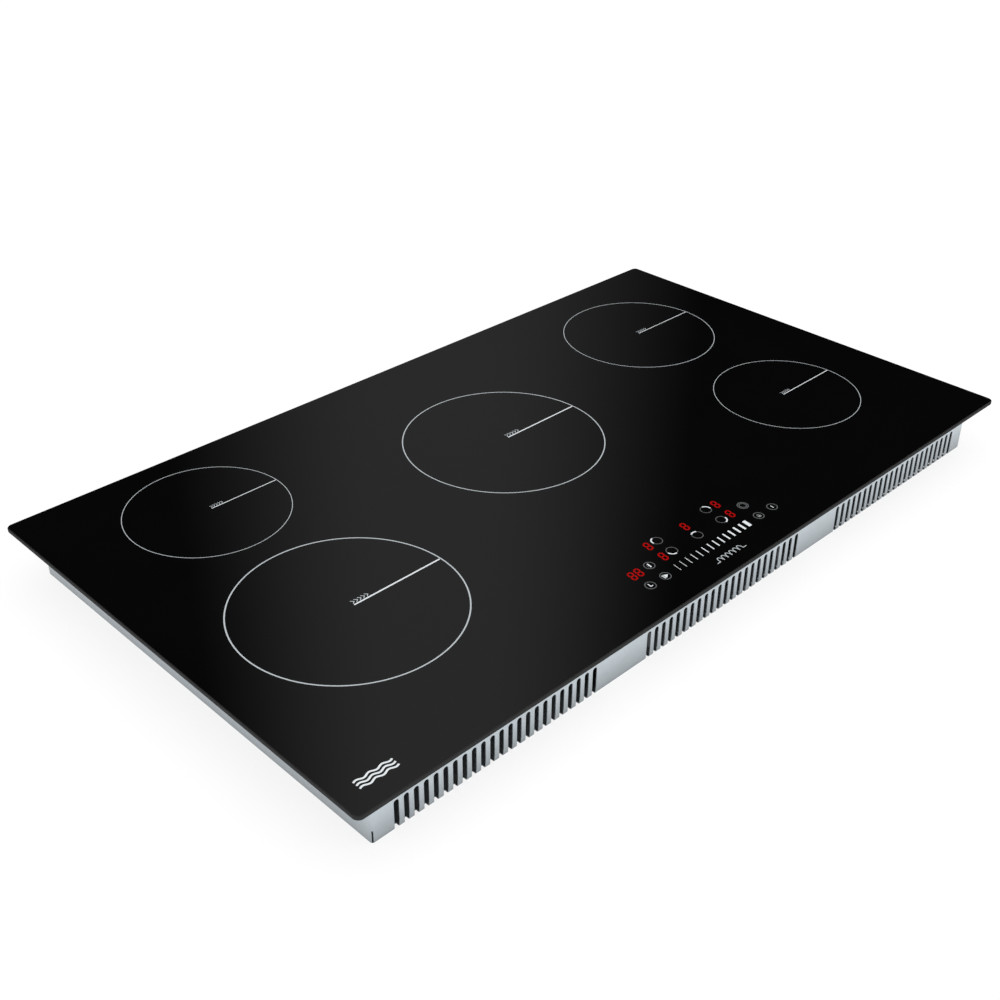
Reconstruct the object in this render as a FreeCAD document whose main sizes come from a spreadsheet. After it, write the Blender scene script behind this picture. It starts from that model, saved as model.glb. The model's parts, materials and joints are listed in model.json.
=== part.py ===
"""Built-in five-zone induction cooktop.

A black glass plate lies over a shallow slotted steel tray that holds the coils, boards and fans.
Frame: +X to the user's right along the long side, -Y towards the user, +Z up. The origin is on the
underside of the tray, below the centre of the glass. Lengths are millimetres.
"""

import FreeCAD, Part
import math
import os
from types import SimpleNamespace

import Sketcher

Vector = FreeCAD.Vector
Rotation = FreeCAD.Rotation
Placement = FreeCAD.Placement

# ------------------------------------------------------------------ driving dimensions

DIMENSIONS = {
    # glass plate and its seals
    "glass_width": 900,
    "glass_depth": 520,
    "glass_thickness": 4,
    "glass_corner": 6,
    "glass_bevel": 0.7,
    "overall_height": 58,
    "gasket_inset": 4,
    "gasket_width": 8,
    "gasket_height": 3,
    "bead_height": 1,
    "bead_width": 6,
    # sheet-steel tray
    "tray_width": 851,
    "tray_depth": 485,
    "sheet_steel": 0.8,
    "tray_corner": 3,
    "bend_radius": 2.5,
    "lip_width": 10,
    "slot_width": 5.2,
    "slot_pitch": 10,
    "slot_count": 23,
    "slot_top": 30,
    "slot_wrap": 4.8,
    "slot_group_pitch": 290.6,
    "corner_slit_width": 1.2,
    "corner_slit_height": 12,
    "corner_slit_bottom": 1.6,
    "grille_slot_width": 4,
    "grille_slot_length": 62,
    "grille_pitch": 8,
    "grille_count": 9,
    "rib_length": 700,
    "rib_width": 12,
    "rib_depth": 1.5,
    "bracket_hole_radius": 2.25,
    "bracket_spacing_x": 780,
    "bracket_spacing_y": 440,
    # cooking zones: centre and diameter
    "rear_left_x": -297.5,
    "rear_left_y": 152,
    "rear_left_zone": 160,
    "front_left_x": -297.5,
    "front_left_y": -61,
    "front_left_zone": 210,
    "middle_x": 1,
    "middle_y": 52.3,
    "middle_zone": 210,
    "rear_right_x": 298,
    "rear_right_y": 122.5,
    "rear_right_zone": 180,
    "front_right_x": 299,
    "front_right_y": -92,
    "front_right_zone": 160,
    # induction coils, from the glass down
    "mica_thickness": 0.6,
    "winding_height": 5,
    "winding_bore": 22,
    "winding_edge": 1.2,
    "winding_margin": 7.5,
    "former_thickness": 3,
    "former_rim": 3,
    "former_rim_height": 3,
    "hub_radius": 16,
    "hub_bore": 8,
    "ferrite_length": 50,
    "ferrite_width": 12,
    "ferrite_height": 4,
    "ferrite_inset": 2,
    "sensor_radius": 5,
    "sensor_height": 12,
    "sensor_flange": 6.5,
    "sensor_flange_height": 2,
    "carrier_height": 34,
    "carrier_thickness": 1,
    "carrier_window": 26,
    "bush_radius": 5,
    "bush_bore": 2.5,
    "bush_inset": 6,
    "post_radius": 4,
    "post_foot_radius": 2.9,
    "screw_radius": 1.5,
    "screw_head_radius": 3.2,
    "screw_head_height": 1.8,
    "screw_length": 8,
    "hole_clearance": 0.2,
    "thread_gap": 0.02,
    # circuit boards and what they carry
    "board_height": 8,
    "board_thickness": 1.6,
    "board_width": 170,
    "board_length": 210,
    "spacer_radius": 3.5,
    "spacer_pin_radius": 1.8,
    "spacer_pin_height": 2,
    "device_height": 4.4,
    "device_length": 20,
    "switch_width": 16,
    "bridge_width": 30,
    "sink_width": 60,
    "sink_length": 150,
    "sink_base": 4,
    "sink_height": 19,
    "fin_thickness": 1.5,
    "fin_count": 10,
    "film_capacitor_width": 32,
    "film_capacitor_length": 17,
    "film_capacitor_height": 19,
    "link_capacitor_width": 42,
    "link_capacitor_length": 22,
    "link_capacitor_height": 22,
    "mains_capacitor_width": 34,
    "mains_capacitor_length": 15,
    "choke_radius": 12,
    "choke_thickness": 5,
    "filter_choke_radius": 17,
    "filter_choke_thickness": 6,
    "terminal_size": 12,
    "terminal_height": 9,
    "terminal_well_radius": 2.2,
    "terminal_well_depth": 5,
    "filter_width": 76,
    "filter_length": 150,
    # mains inlet
    "inlet_x": 140,
    "inlet_z": 24,
    "inlet_bore": 5.5,
    "inlet_neck_radius": 8.6,
    "inlet_collar_radius": 11,
    "inlet_collar_thickness": 2,
    "inlet_length": 16,
    "cover_width": 84,
    "cover_depth": 60,
    "cover_gap": 0.3,
    "cover_thickness": 1.5,
    "cover_y": 203,
    "foot_size": 8,
    "block_depth": 24,
    "block_height": 19,
    "boss_radius": 4,
    "wire_pitch": 10,
    "wire_well_radius": 3,
    "wire_well_depth": 11,
    # cooling fans
    "fan_size": 80,
    "fan_height": 25,
    "fan_bore": 38,
    "fan_hub_radius": 17,
    "fan_wall": 1.8,
    "fan_left_x": -300,
    "fan_left_y": 165,
    "fan_right_x": 300,
    "fan_right_y": 150,
    "fan_hole_pitch": 71.5,
    "spoke_width": 4,
    "spoke_height": 2.5,
    "stator_plate_height": 3,
    "stator_radius": 11.5,
    "stator_height": 9,
    "spindle_radius": 4,
    "spindle_height": 12,
    "bearing_depth": 13,
    "cup_bottom": 4.2,
    "cup_top": 17.5,
    "shaft_radius": 1.5,
    "shaft_clearance": 0.05,
    "shaft_bottom": 2,
    "shaft_length": 14.5,
    "blade_root": 14.2,
    "blade_tip": 35.5,
    "blade_bottom": 5,
    "blade_top": 21,
    "blade_chord": 19,
    "blade_thickness": 1.8,
    "blade_count": 7,
    # touch controls
    "panel_x": 2,
    "panel_y": -201,
    "panel_width": 212,
    "panel_depth": 74,
    "panel_wall": 2,
    "panel_floor": 44,
    "panel_board": 48,
    "panel_board_gap": 0.5,
    "panel_leg_inset": 8,
    "touch_radius": 4,
    "display_width": 10,
    "display_depth": 17,
    "display_gap": 0.3,
    "buzzer_x": 90,
    "buzzer_y": -182,
    "buzzer_radius": 6,
    "buzzer_height": 3.6,
    "buzzer_port_radius": 1,
    "buzzer_port_depth": 1.6,
    "ribbon_width": 20,
    "ribbon_thickness": 0.8,
    "ribbon_start_y": -173,
    "ribbon_drop_y": -158,
    "ribbon_end_y": -62,
}

# how far a cut starts outside the surface that it cuts
OVERCUT = 1
# heights closer than this count as equal
TOLERANCE = 1e-4
# a cut that removes less than this many cubic millimetres has missed
LEAST_CUT = 0.01


class Size:
    """A number together with the spreadsheet expression that gives it."""

    def __init__(self, number, text):
        self.number = float(number)
        self.text = text

    def __float__(self):
        return self.number

    def __add__(self, other):
        return Size(self.number + float(other), f"({self.text} + {as_text(other)})")

    def __radd__(self, other):
        return Size(float(other) + self.number, f"({as_text(other)} + {self.text})")

    def __sub__(self, other):
        return Size(self.number - float(other), f"({self.text} - {as_text(other)})")

    def __rsub__(self, other):
        return Size(float(other) - self.number, f"({as_text(other)} - {self.text})")

    def __mul__(self, other):
        return Size(self.number * float(other), f"({self.text} * {as_text(other)})")

    def __rmul__(self, other):
        return Size(float(other) * self.number, f"({as_text(other)} * {self.text})")

    def __truediv__(self, other):
        return Size(self.number / float(other), f"({self.text} / {as_text(other)})")

    def __neg__(self):
        return Size(-self.number, f"(0 - {self.text})")


def as_text(number):
    """The expression of a size, or a plain number in brackets."""
    return number.text if isinstance(number, Size) else f"({float(number):g})"


doc = FreeCAD.newDocument("induction_cooktop")
sheet = doc.addObject("Spreadsheet::Sheet", "dims")
for row, (alias, number) in enumerate(DIMENSIONS.items(), 1):
    sheet.set(f"A{row}", alias)
    sheet.set(f"B{row}", str(number))
    sheet.setAlias(f"B{row}", alias)
doc.recompute()
d = SimpleNamespace(**{alias: Size(number, f"dims.{alias}") for alias, number in DIMENSIONS.items()})

SUB_PARTS = []

# ------------------------------------------------------------------ helpers: features


def bind(target, path, size):
    """Tie a property to its spreadsheet expression."""
    if isinstance(size, Size):
        target.setExpression(path, size.text)


def new_body(label, x=0, y=0, z=0):
    """An empty PartDesign body that becomes the sub-part with this label."""
    body = doc.addObject("PartDesign::Body", label)
    body.Label = label
    body.AllowCompound = True
    body.Placement = Placement(Vector(float(x), float(y), float(z)), Rotation())
    bind(body, ".Placement.Base.x", x)
    bind(body, ".Placement.Base.y", y)
    bind(body, ".Placement.Base.z", z)
    SUB_PARTS.append(body)
    return body


def new_sketch(body, role="XY_Plane", offset=0):
    """A sketch on one of the body's origin planes, moved along the plane's normal."""
    sketch = body.newObject("Sketcher::SketchObject", "Sketch")
    plane = [feature for feature in body.Origin.OriginFeatures if feature.Role == role][0]
    sketch.AttachmentSupport = [(plane, "")]
    sketch.MapMode = "FlatFace"
    sketch.AttachmentOffset = Placement(Vector(0, 0, float(offset)), Rotation())
    bind(sketch, ".AttachmentOffset.Base.z", offset)
    return sketch


def constrain(sketch, *arguments, size):
    """A dimension constraint tied to its size."""
    index = sketch.addConstraint(Sketcher.Constraint(*arguments, float(size)))
    bind(sketch, f"Constraints[{index}]", size)


def add_rectangle(sketch, x, y, width, height):
    """A rectangle centred on (x, y)."""
    left = float(x) - float(width) / 2
    low = float(y) - float(height) / 2
    right = left + float(width)
    high = low + float(height)
    corners = [
        Vector(left, low, 0),
        Vector(right, low, 0),
        Vector(right, high, 0),
        Vector(left, high, 0),
    ]
    first = sketch.GeometryCount
    for i in range(4):
        sketch.addGeometry(Part.LineSegment(corners[i], corners[(i + 1) % 4]))
    for i in range(4):
        sketch.addConstraint(Sketcher.Constraint("Coincident", first + i, 2, first + (i + 1) % 4, 1))
        direction = "Horizontal" if i % 2 == 0 else "Vertical"
        sketch.addConstraint(Sketcher.Constraint(direction, first + i))
    constrain(sketch, "DistanceX", first, 1, first, 2, size=width)
    constrain(sketch, "DistanceY", first + 1, 1, first + 1, 2, size=height)
    constrain(sketch, "DistanceX", -1, 1, first, 1, size=x - width / 2)
    constrain(sketch, "DistanceY", -1, 1, first, 1, size=y - height / 2)


def add_rounded_rectangle(sketch, width, height, radius):
    """A rectangle with round corners, centred on the sketch's origin."""
    half_w = float(width) / 2
    half_h = float(height) / 2
    r = float(radius)
    first = sketch.GeometryCount
    runs = [
        (Vector(r - half_w, -half_h, 0), Vector(half_w - r, -half_h, 0)),
        (Vector(half_w, r - half_h, 0), Vector(half_w, half_h - r, 0)),
        (Vector(half_w - r, half_h, 0), Vector(r - half_w, half_h, 0)),
        (Vector(-half_w, half_h - r, 0), Vector(-half_w, r - half_h, 0)),
    ]
    centres = [
        Vector(half_w - r, r - half_h, 0),
        Vector(half_w - r, half_h - r, 0),
        Vector(r - half_w, half_h - r, 0),
        Vector(r - half_w, r - half_h, 0),
    ]
    for i in range(4):
        sketch.addGeometry(Part.LineSegment(*runs[i]))
        circle = Part.Circle(centres[i], Vector(0, 0, 1), r)
        start = (i - 1) * math.pi / 2
        sketch.addGeometry(Part.ArcOfCircle(circle, start, start + math.pi / 2))
    for i in range(4):
        line = first + 2 * i
        arc = line + 1
        following = first + (2 * i + 2) % 8
        sketch.addConstraint(Sketcher.Constraint("Tangent", line, 2, arc, 1))
        sketch.addConstraint(Sketcher.Constraint("Tangent", arc, 2, following, 1))
        direction = "Horizontal" if i % 2 == 0 else "Vertical"
        sketch.addConstraint(Sketcher.Constraint(direction, line))
    for i in range(1, 4):
        sketch.addConstraint(Sketcher.Constraint("Equal", first + 1, first + 2 * i + 1))
    constrain(sketch, "Radius", first + 1, size=radius)
    constrain(sketch, "DistanceX", first, 1, first, 2, size=width - 2 * radius)
    constrain(sketch, "DistanceY", first + 2, 1, first + 2, 2, size=height - 2 * radius)
    constrain(sketch, "DistanceX", -1, 1, first, 1, size=radius - width / 2)
    constrain(sketch, "DistanceY", -1, 1, first, 1, size=-height / 2)


def add_circles(sketch, centres, radius):
    """Circles of one radius."""
    first = sketch.GeometryCount
    for i, (x, y) in enumerate(centres):
        centre = Vector(float(x), float(y), 0)
        sketch.addGeometry(Part.Circle(centre, Vector(0, 0, 1), float(radius)))
        constrain(sketch, "DistanceX", -1, 1, first + i, 3, size=x)
        constrain(sketch, "DistanceY", -1, 1, first + i, 3, size=y)
        if i == 0:
            constrain(sketch, "Radius", first, size=radius)
        else:
            sketch.addConstraint(Sketcher.Constraint("Equal", first, first + i))


def pad(body, sketch, length):
    """Raise a sketch along its normal."""
    feature = body.newObject("PartDesign::Pad", "Pad")
    feature.Profile = sketch
    feature.Length = float(length)
    bind(feature, "Length", length)
    body.Tip = feature
    doc.recompute()
    return feature


def pocket(body, sketch, length, reverse=False):
    """Sink a sketch against its normal, or along it when reversed, and make sure that it cuts."""
    before = body.Shape.Volume
    feature = body.newObject("PartDesign::Pocket", "Pocket")
    feature.Profile = sketch
    feature.Length = float(length)
    feature.Reversed = reverse
    bind(feature, "Length", length)
    body.Tip = feature
    doc.recompute()
    if body.Shape.Volume > before - LEAST_CUT:
        raise RuntimeError(f"a pocket in {body.Label} cuts nothing")
    return feature


def linear_pattern(body, feature, count, pitch, role="X_Axis"):
    """Repeat a feature along one of the body's axes."""
    pattern = body.newObject("PartDesign::LinearPattern", "LinearPattern")
    axis = [item for item in body.Origin.OriginFeatures if item.Role == role][0]
    pattern.Originals = [feature]
    pattern.Direction = (axis, [""])
    pattern.Occurrences = int(float(count))
    pattern.Length = float(pitch) * (float(count) - 1)
    bind(pattern, "Occurrences", count)
    bind(pattern, "Length", (count - 1) * pitch)
    body.Tip = pattern
    doc.recompute()
    return pattern


def edges_at(height):
    """A test for edges that lie wholly at one height of the body."""

    def test(edge):
        box = edge.BoundBox
        return max(abs(box.ZMin - height), abs(box.ZMax - height)) < TOLERANCE

    return test


def dress(body, kind, radius, test):
    """Fillet or chamfer the edges of the body's tip that pass a test."""
    base = body.Tip
    names = [f"Edge{i}" for i, edge in enumerate(base.Shape.Edges, 1) if test(edge)]
    if not names:
        raise RuntimeError(f"no edges to dress in {body.Label}")
    feature = body.newObject(f"PartDesign::{kind}", kind)
    feature.Base = (base, names)
    path = "Radius" if kind == "Fillet" else "Size"
    setattr(feature, path, float(radius))
    bind(feature, path, radius)
    body.Tip = feature
    doc.recompute()


def discs(body, centres, radius, height, offset=0):
    """Round pads of one radius and height, from one offset."""
    sketch = new_sketch(body, offset=offset)
    add_circles(sketch, centres, radius)
    return pad(body, sketch, height)


def blocks(body, places, width, depth, height, offset=0):
    """Rectangular pads of one size, each centred on its place."""
    sketch = new_sketch(body, offset=offset)
    for x, y in places:
        add_rectangle(sketch, x, y, width, depth)
    return pad(body, sketch, height)


def holes(body, centres, radius, top, depth):
    """Round holes of one radius, this deep from a surface at this height."""
    sketch = new_sketch(body, offset=top + OVERCUT)
    add_circles(sketch, centres, radius)
    return pocket(body, sketch, depth + OVERCUT)


def through_holes(body, centres, radius, thickness):
    """Round holes right through a plate that stands on the body's origin."""
    return holes(body, centres, radius, thickness, thickness + OVERCUT)


def corners_of(x, y, pitch_x, pitch_y):
    """The four corners of a rectangle about (x, y)."""
    return [(x + pitch_x * (i / 2), y + pitch_y * (j / 2)) for i in (-1, 1) for j in (-1, 1)]


# ------------------------------------------------------------------ shared layout

glass_underside = d.overall_height - d.glass_thickness
tray_height = glass_underside - d.bead_height
winding_top = glass_underside - d.mica_thickness
former_top = winding_top - d.winding_height
former_bottom = former_top - d.former_thickness
carrier_top = d.carrier_height + d.carrier_thickness
board_top = d.board_height + d.board_thickness

ZONES = {
    "rear_left": (d.rear_left_x, d.rear_left_y, d.rear_left_zone),
    "front_left": (d.front_left_x, d.front_left_y, d.front_left_zone),
    "middle": (d.middle_x, d.middle_y, d.middle_zone),
    "rear_right": (d.rear_right_x, d.rear_right_y, d.rear_right_zone),
    "front_right": (d.front_right_x, d.front_right_y, d.front_right_zone),
}

# carrier plates: centre, width and depth, and the zones that each one carries
CARRIERS = {
    "left": (-297.5, 32.5, 215, 405, ["rear_left", "front_left"]),
    "middle": (1, 52.3, 215, 215, ["middle"]),
    "right": (298.5, 21.5, 205, 387, ["rear_right", "front_right"]),
}
CARRIER_EDGE = 7

# power boards: centre, and the number of coils that each one drives
POWER_BOARDS = {
    "left": (-300, -35, 2),
    "middle": (0, 30, 1),
    "right": (300, -35, 2),
}
RIB_ROWS = (-200, -100, 98)
FILTER_BOARD = (150, 70)
SPACER_EDGE = 6
COVER_SCREW_X = 32

# places of the soldered parts, about the centre of a power board
SINK_X = -45
SWITCHES = [(SINK_X + x, y) for y in (-50, -15) for x in (-15, 15)]
BRIDGE = (SINK_X, 45)
RESONANT_CAPACITORS = [(26, -85 + 24 * i) for i in range(4)]
LINK_CAPACITOR = (26, 20)
BOARD_CHOKE = (26, 72)
COIL_TERMINALS = [(66, -80 + 30 * i) for i in range(4)]
# and about the centre of the filter board
FILTER_CHOKE_Y = -20
MAINS_CAPACITORS_Y = (-58, 22, 44)

FANS = {
    "left": (d.fan_left_x, d.fan_left_y),
    "right": (d.fan_right_x, d.fan_right_y),
}

# where the lit digits and the touch keys lie on the glass
DIGITS = [(-43, -180.6), (6.9, -183), (58.3, -178.9), (-45.7, -200.3), (55.3, -198.9)]
DOUBLE_DIGIT = (-84.6, -201.5)
DOUBLE_DIGIT_WIDTH = 19
ZONE_KEYS = [(-30, -179.9), (44.7, -178.4), (-32.4, -200.1), (4.3, -200.1), (41.7, -199.4)]
OTHER_KEYS = [
    (-65.4, -201),
    (76, -198.4),
    (-87.9, -221.6),
    (-67.6, -221.3),
    (72.6, -219.9),
    (94.6, -219.4),
]
SLIDER_KEYS = [(-45 + 23.5 * i, -220.6) for i in range(5)]

# coils of at least this radius have more ferrite bars
LARGE_COIL = 80
BUSHES_PER_COIL = 3


def post_places():
    """The screw places of every carrier plate."""
    places = []
    for x, y, width, depth, _ in CARRIERS.values():
        places += corners_of(x, y, width - 2 * CARRIER_EDGE, depth - 2 * CARRIER_EDGE)
    return places


def spacer_places():
    """The snap-in spacers of every circuit board on the tray's floor."""
    places = []
    for x, y, _ in POWER_BOARDS.values():
        places += corners_of(x, y, d.board_width - 2 * SPACER_EDGE, d.board_length - 2 * SPACER_EDGE)
    x, y = FILTER_BOARD
    places += corners_of(x, y, d.filter_width - 2 * SPACER_EDGE, d.filter_length - 2 * SPACER_EDGE)
    return places


def fan_screw_places():
    """The corner screws of both fans."""
    places = []
    for x, y in FANS.values():
        places += corners_of(x, y, d.fan_hole_pitch, d.fan_hole_pitch)
    return places


def on_boards(offsets, per_coil=False):
    """Places on the power boards, from offsets about each board's centre.

    With per_coil, a board that drives one coil takes only the first half of the offsets.
    """
    places = []
    for x, y, coils in POWER_BOARDS.values():
        count = len(offsets) * coils // 2 if per_coil else len(offsets)
        places += [(x + dx, y + dy) for dx, dy in offsets[:count]]
    return places


# ------------------------------------------------------------------ glass and seals


def make_glass():
    body = new_body("glass_top", z=glass_underside)
    sketch = new_sketch(body)
    add_rounded_rectangle(sketch, d.glass_width, d.glass_depth, d.glass_corner)
    pad(body, sketch, d.glass_thickness)
    dress(body, "Chamfer", d.glass_bevel, edges_at(float(d.glass_thickness)))


def make_ring(label, bottom, height, outer_width, outer_depth, outer_radius, width):
    """A flat rectangular ring with round corners outside and inside."""
    body = new_body(label, z=bottom)
    sketch = new_sketch(body)
    add_rounded_rectangle(sketch, outer_width, outer_depth, outer_radius)
    add_rounded_rectangle(sketch, outer_width - 2 * width, outer_depth - 2 * width, outer_radius / 2)
    pad(body, sketch, height)


def make_seals():
    make_ring(
        "edge_gasket",
        glass_underside - d.gasket_height,
        d.gasket_height,
        d.glass_width - 2 * d.gasket_inset,
        d.glass_depth - 2 * d.gasket_inset,
        d.glass_corner / 2,
        d.gasket_width,
    )
    inset = (d.lip_width - d.bead_width) / 2
    make_ring(
        "silicone_bead",
        tray_height,
        d.bead_height,
        d.tray_width - 2 * inset,
        d.tray_depth - 2 * inset,
        d.tray_corner,
        d.bead_width,
    )


# ------------------------------------------------------------------ tray


def make_tray():
    body = new_body("base_tray")
    sketch = new_sketch(body)
    add_rounded_rectangle(sketch, d.tray_width, d.tray_depth, d.tray_corner)
    pad(body, sketch, tray_height)
    dress(body, "Fillet", d.bend_radius, edges_at(0))
    hollow_tray(body)
    add_tray_lip(body)
    stamp_ribs(body)
    cut_exhaust_slots(body)
    cut_corner_slits(body)
    cut_intake_grilles(body)
    cut_floor_holes(body)
    cut_inlet_hole(body)


def hollow_tray(body):
    """Turn the solid block into folded sheet, open at the top."""
    base = body.Tip
    heights = [face.CenterOfMass.z for face in base.Shape.Faces]
    top = heights.index(max(heights)) + 1
    shell = body.newObject("PartDesign::Thickness", "Thickness")
    shell.Base = (base, [f"Face{top}"])
    shell.Value = float(d.sheet_steel)
    shell.Reversed = True
    bind(shell, "Value", d.sheet_steel)
    body.Tip = shell
    doc.recompute()


def add_tray_lip(body):
    """The inward flange that carries the glass on its adhesive bead."""
    overlap = d.sheet_steel / 2
    sketch = new_sketch(body, offset=tray_height - d.sheet_steel)
    add_rounded_rectangle(
        sketch, d.tray_width - 2 * overlap, d.tray_depth - 2 * overlap, d.tray_corner - overlap
    )
    add_rounded_rectangle(
        sketch, d.tray_width - 2 * d.lip_width, d.tray_depth - 2 * d.lip_width, d.tray_corner
    )
    pad(body, sketch, d.sheet_steel)


def stamp_ribs(body):
    """Long stiffening ribs, pressed up into the floor."""
    rows = [(0, y) for y in RIB_ROWS]
    ends = [(side * d.rib_length / 2, y) for side in (-1, 1) for y in RIB_ROWS]
    height = d.rib_depth + d.sheet_steel
    blocks(body, rows, d.rib_length, d.rib_width + 2 * d.sheet_steel, height)
    discs(body, ends, d.rib_width / 2 + d.sheet_steel, height)
    runs = new_sketch(body, offset=d.rib_depth)
    for x, y in rows:
        add_rectangle(runs, x, y, d.rib_length, d.rib_width)
    pocket(body, runs, d.rib_depth + OVERCUT)
    rounds = new_sketch(body, offset=d.rib_depth)
    add_circles(rounds, ends, d.rib_width / 2)
    pocket(body, rounds, d.rib_depth + OVERCUT)


def add_slot_outline(sketch, left, width, low, high):
    """An upright slot with a round top."""
    x0 = float(left)
    x1 = x0 + float(width)
    r = float(width) / 2
    z0 = float(low)
    z1 = float(high) - r
    first = sketch.GeometryCount
    sketch.addGeometry(Part.LineSegment(Vector(x0, z1, 0), Vector(x0, z0, 0)))
    sketch.addGeometry(Part.LineSegment(Vector(x0, z0, 0), Vector(x1, z0, 0)))
    sketch.addGeometry(Part.LineSegment(Vector(x1, z0, 0), Vector(x1, z1, 0)))
    circle = Part.Circle(Vector(x0 + r, z1, 0), Vector(0, 0, 1), r)
    sketch.addGeometry(Part.ArcOfCircle(circle, 0, math.pi))
    sketch.addConstraint(Sketcher.Constraint("Coincident", first, 2, first + 1, 1))
    sketch.addConstraint(Sketcher.Constraint("Coincident", first + 1, 2, first + 2, 1))
    sketch.addConstraint(Sketcher.Constraint("Tangent", first + 2, 2, first + 3, 1))
    sketch.addConstraint(Sketcher.Constraint("Tangent", first + 3, 2, first, 1))
    sketch.addConstraint(Sketcher.Constraint("Vertical", first))
    sketch.addConstraint(Sketcher.Constraint("Horizontal", first + 1))
    sketch.addConstraint(Sketcher.Constraint("Vertical", first + 2))
    constrain(sketch, "DistanceX", first + 1, 1, first + 1, 2, size=width)
    constrain(sketch, "DistanceX", -1, 1, first + 1, 1, size=left)
    constrain(sketch, "DistanceY", -1, 1, first + 1, 1, size=low)
    constrain(sketch, "DistanceY", -1, 1, first, 1, size=high - width / 2)


def cut_exhaust_slots(body):
    """Three groups of upright slots in the front wall that run round the bend into the floor."""
    group_width = (d.slot_count - 1) * d.slot_pitch + d.slot_width
    for group in (-1, 0, 1):
        sketch = new_sketch(body, "XZ_Plane", d.tray_depth / 2 + OVERCUT)
        left = group * d.slot_group_pitch - group_width / 2
        add_slot_outline(sketch, left, d.slot_width, -OVERCUT, d.slot_top)
        slot = pocket(body, sketch, d.slot_wrap + OVERCUT)
        linear_pattern(body, slot, d.slot_count, d.slot_pitch)


def cut_corner_slits(body):
    """The short open seams low on the four folded corners."""
    x = d.tray_width / 2 - d.sheet_steel - d.corner_slit_width / 2
    z = d.corner_slit_bottom + d.corner_slit_height / 2
    reach = d.tray_depth / 2 + OVERCUT
    for offset, reverse in ((reach, False), (-reach, True)):
        sketch = new_sketch(body, "XZ_Plane", offset)
        add_rectangle(sketch, x, z, d.corner_slit_width, d.corner_slit_height)
        add_rectangle(sketch, -x, z, d.corner_slit_width, d.corner_slit_height)
        pocket(body, sketch, d.tray_corner + d.sheet_steel, reverse)


def cut_intake_grilles(body):
    """Air slots below each fan."""
    for x, y in FANS.values():
        sketch = new_sketch(body, offset=d.sheet_steel + OVERCUT)
        first_x = x - (d.grille_count - 1) * d.grille_pitch / 2
        add_rectangle(sketch, first_x, y, d.grille_slot_width, d.grille_slot_length)
        slot = pocket(body, sketch, d.sheet_steel + 2 * OVERCUT)
        linear_pattern(body, slot, d.grille_count, d.grille_pitch)


def cut_floor_holes(body):
    """Holes for posts, spacers, fan screws and fixing brackets, and the terminal opening."""
    through_holes(body, post_places(), d.post_foot_radius + d.hole_clearance, d.sheet_steel)
    through_holes(body, spacer_places(), d.spacer_pin_radius + d.hole_clearance, d.sheet_steel)
    through_holes(body, fan_screw_places(), d.screw_radius + d.hole_clearance, d.sheet_steel)
    brackets = corners_of(0, 0, d.bracket_spacing_x, d.bracket_spacing_y)
    through_holes(body, brackets, d.bracket_hole_radius, d.sheet_steel)
    sketch = new_sketch(body, offset=d.sheet_steel + OVERCUT)
    add_rectangle(sketch, d.inlet_x, d.cover_y, d.cover_width, d.cover_depth)
    pocket(body, sketch, d.sheet_steel + 2 * OVERCUT)


def cut_inlet_hole(body):
    """The round hole for the mains bushing in the back wall."""
    sketch = new_sketch(body, "XZ_Plane", -d.tray_depth / 2 - OVERCUT)
    add_circles(sketch, [(d.inlet_x, d.inlet_z)], d.inlet_neck_radius + d.hole_clearance)
    pocket(body, sketch, d.sheet_steel + 2 * OVERCUT, reverse=True)


# ------------------------------------------------------------------ induction coils


def make_coil(zone, x, y, diameter):
    """One coil: insulating disc, winding, former and ferrite bars, stacked below the glass."""
    coil_radius = diameter / 2 - d.winding_margin
    former_radius = coil_radius + d.former_rim

    disc = new_body(f"mica_disc_{zone}", x, y, winding_top)
    discs(disc, [(0, 0)], former_radius, d.mica_thickness)
    through_holes(disc, [(0, 0)], d.hub_bore, d.mica_thickness)

    winding = new_body(f"coil_winding_{zone}", x, y, former_top)
    discs(winding, [(0, 0)], coil_radius, d.winding_height)
    through_holes(winding, [(0, 0)], d.winding_bore, d.winding_height)
    dress(winding, "Fillet", d.winding_edge, edges_at(float(d.winding_height)))

    former = new_body(f"coil_former_{zone}", x, y, former_bottom)
    discs(former, [(0, 0)], former_radius, d.former_thickness)
    discs(former, [(0, 0)], d.hub_radius, d.winding_height, offset=d.former_thickness)
    rim = new_sketch(former, offset=d.former_thickness)
    add_circles(rim, [(0, 0)], former_radius)
    add_circles(rim, [(0, 0)], coil_radius + d.former_rim / 2)
    pad(former, rim, d.former_rim_height)
    through_holes(former, [(0, 0)], d.hub_bore, d.former_thickness + d.winding_height)

    make_ferrites(zone, x, y, coil_radius)


def bar_count(coil_radius):
    """How many ferrite bars a coil has."""
    return 8 if float(coil_radius) >= LARGE_COIL else 6


def make_ferrites(zone, x, y, coil_radius):
    """Radial ferrite bars glued below the former."""
    bars = new_body(f"ferrite_bars_{zone}", x, y, former_bottom - d.ferrite_height)
    sketch = new_sketch(bars)
    middle = coil_radius - d.ferrite_length / 2 - d.ferrite_inset
    add_rectangle(sketch, middle, 0, d.ferrite_length, d.ferrite_width)
    first = pad(bars, sketch, d.ferrite_height)
    pattern = bars.newObject("PartDesign::PolarPattern", "PolarPattern")
    axis = [item for item in bars.Origin.OriginFeatures if item.Role == "Z_Axis"][0]
    pattern.Originals = [first]
    pattern.Axis = (axis, [""])
    pattern.Angle = 360
    pattern.Occurrences = bar_count(coil_radius)
    bars.Tip = pattern
    doc.recompute()


def make_sensors():
    """Spring-loaded temperature probes in the coil hubs, touching the glass."""
    centres = [(x, y) for x, y, _ in ZONES.values()]
    body = new_body("temperature_sensors", z=glass_underside - d.sensor_height)
    discs(body, centres, d.sensor_radius, d.sensor_height)
    discs(body, centres, d.sensor_flange, d.sensor_flange_height)


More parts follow.
